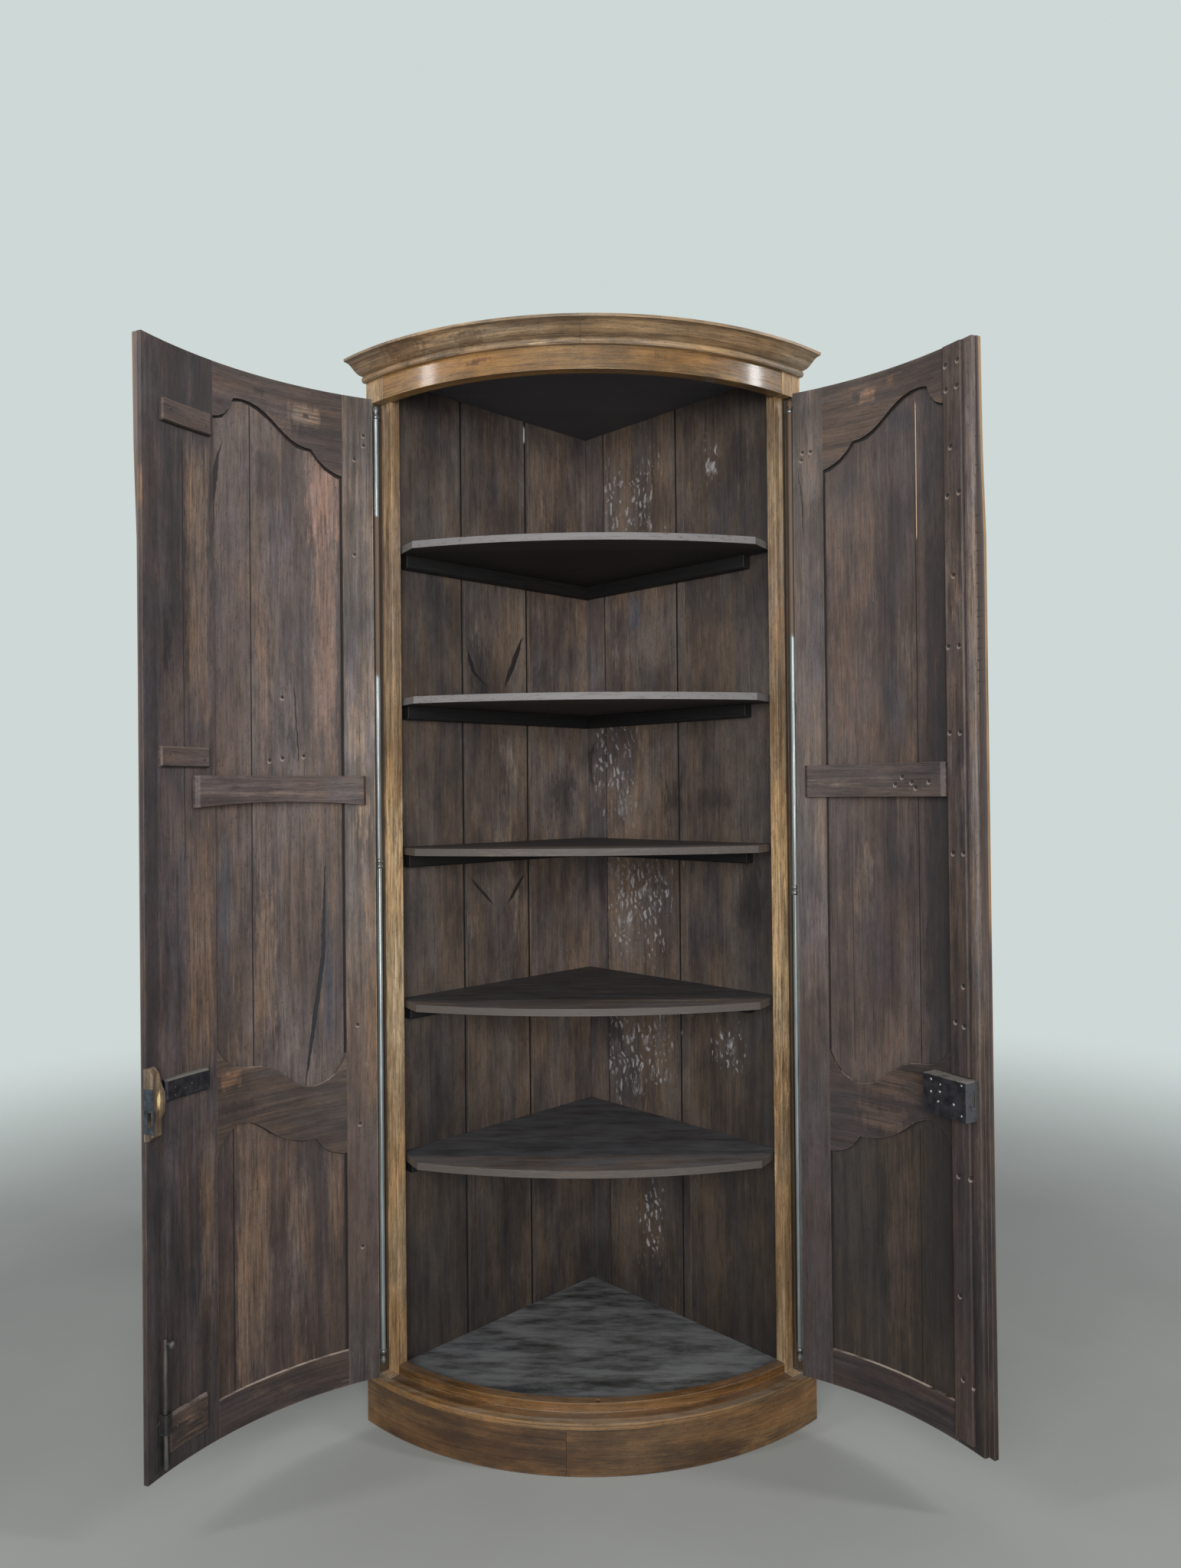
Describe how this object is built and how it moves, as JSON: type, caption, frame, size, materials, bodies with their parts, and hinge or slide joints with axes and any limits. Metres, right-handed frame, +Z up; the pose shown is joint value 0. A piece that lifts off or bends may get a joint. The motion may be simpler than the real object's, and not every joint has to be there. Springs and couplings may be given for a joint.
{
  "type": "corner cupboard",
  "caption": "Bow-fronted corner cupboard with tall curved panelled doors on long barrel hinges, scrolled rails, fixed shelves, moulded cornice and plinth.",
  "frame": {"origin": "on the floor under the rear corner post, where the middle planes of the two back walls meet", "axes": "+Z up, -Y towards the viewer along the middle of the bow, +X to the right seen from the front"},
  "size_m": [1.5739, 0.8973, 2.3],
  "materials": {
    "dark_oak": "old dark oak, dull and dusty",
    "warm_oak": "worn brown oak",
    "honey_oak": "honey-brown rubbed oak",
    "grey_oak": "dusty grey oak",
    "dark_iron": "forged black iron",
    "worn_steel": "worn grey iron rod"
  },
  "bodies": {
    "carcass": {"cornice_left": "warm_oak", "cornice_right": "warm_oak", "frieze_rail": "warm_oak", "left_post": "honey_oak", "right_post": "honey_oak", "bottom_rail": "honey_oak", "plinth_left": "warm_oak", "plinth_right": "warm_oak", "plinth_moulding": "grey_oak", "floor_board": "grey_oak", "top_board": "dark_oak", "rear_corner_post": "dark_oak", "left_wall_board_1": "dark_oak", "left_wall_board_2": "dark_oak", "left_wall_board_3": "dark_oak", "right_wall_board_1": "dark_oak", "right_wall_board_2": "dark_oak", "left_hinge_lower": "worn_steel", "right_hinge_lower": "worn_steel", "shelf_1": "grey_oak", "shelf_2": "grey_oak", "shelf_3": "grey_oak", "shelf_4": "grey_oak", "shelf_5": "grey_oak", "left_cleat_1": "grey_oak", "right_cleat_1": "grey_oak", "left_cleat_2": "grey_oak", "right_cleat_2": "grey_oak", "left_cleat_3": "grey_oak", "right_cleat_3": "grey_oak", "left_cleat_4": "grey_oak", "right_cleat_4": "grey_oak", "left_cleat_5": "grey_oak", "right_cleat_5": "grey_oak"},
    "left_leaf": {"left_hinge_stile": "dark_oak", "left_meeting_stile": "dark_oak", "left_top_rail": "dark_oak", "left_mid_rail": "dark_oak", "left_bottom_rail": "dark_oak", "left_upper_panel": "dark_oak", "left_lower_panel": "dark_oak", "left_batten": "dark_oak", "left_hinge_upper": "worn_steel", "strike_block": "dark_oak", "keeper": "dark_iron", "bolt_guide": "dark_iron"},
    "right_leaf": {"right_hinge_stile": "dark_oak", "right_meeting_stile": "dark_oak", "right_top_rail": "dark_oak", "right_mid_rail": "dark_oak", "right_bottom_rail": "dark_oak", "right_upper_panel": "dark_oak", "right_lower_panel": "dark_oak", "right_batten": "dark_oak", "right_hinge_upper": "worn_steel", "cover_strip_upper": "warm_oak", "cover_strip_lower": "warm_oak", "lock_case": "dark_iron"},
    "floor_bolt_slide": {"floor_bolt": "worn_steel"},
    "lock_bolt_slide": {"lock_bolt": "worn_steel"}
  },
  "joints": [
    {"name": "left_door_hinge", "type": "hinge", "parent": "carcass", "child": "left_leaf", "pos_m": [-0.44915, -0.48651, 0], "axis": [0, 0, -1], "range_deg": [-116, 50]},
    {"name": "right_door_hinge", "type": "hinge", "parent": "carcass", "child": "right_leaf", "pos_m": [0.44915, -0.48651, 0], "axis": [0, 0, 1], "range_deg": [-112.5, 53.5]},
    {"name": "floor_bolt_drop", "type": "slide", "parent": "left_leaf", "child": "floor_bolt_slide", "axis": [0, 0, -1], "range_m": [0, 0.026]},
    {"name": "lock_bolt_throw", "type": "slide", "parent": "right_leaf", "child": "lock_bolt_slide", "axis": [0.527, -0.8499, 0], "range_m": [0, 0.025]}
  ]
}
